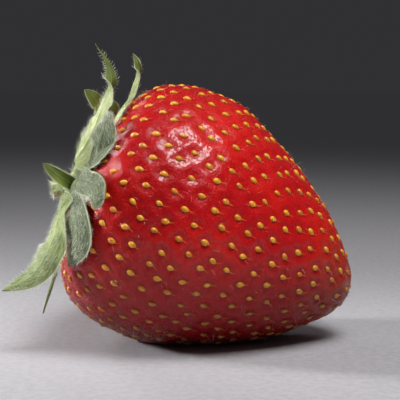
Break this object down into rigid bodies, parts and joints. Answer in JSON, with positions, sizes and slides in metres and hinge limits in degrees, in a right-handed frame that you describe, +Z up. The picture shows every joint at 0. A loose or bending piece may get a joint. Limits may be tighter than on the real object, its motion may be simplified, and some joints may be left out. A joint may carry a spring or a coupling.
{
  "type": "strawberry",
  "caption": "Ripe broad cone-shaped garden strawberry lying on its side, with swept and curled green sepals and a short stalk stub.",
  "frame": {"origin": "middle of the small flat spot on which the fruit rests, on the floor", "axes": "+Z up; +X level, from the leaves towards the tip of the fruit, whose axis dips 24 degrees towards it; +Y to the back"},
  "size_m": [0.0561, 0.0422, 0.0487],
  "materials": {
    "flesh": "wet, glossy deep red skin, brighter red on top and orange-brown at the tip",
    "leaf": "dull grey-green outer face with fine white hairs, bright green inner face",
    "stalk": "pale hairy green",
    "seed": "smooth, slightly glossy golden to olive, each with a thin tan thread",
    "hair": "fine silky white hairs"
  },
  "bodies": {
    "root": {"fruit": "flesh", "calyx_disc": "stalk", "stem_stub": "stalk", "sepal_upper_long": "leaf", "sepal_upper_broad": "leaf", "sepal_upper_turned": "leaf", "bract_upper_slim": "leaf", "bract_upper_reflexed": "leaf", "bract_front_reflexed": "leaf", "sepal_front_folded": "leaf", "sepal_lower_broad": "leaf", "sepal_lower_long": "leaf", "bract_lower_slim": "leaf", "sepal_back_lower": "leaf", "bract_back_slim": "leaf", "sepal_back_upper": "leaf"}
  },
  "joints": []
}
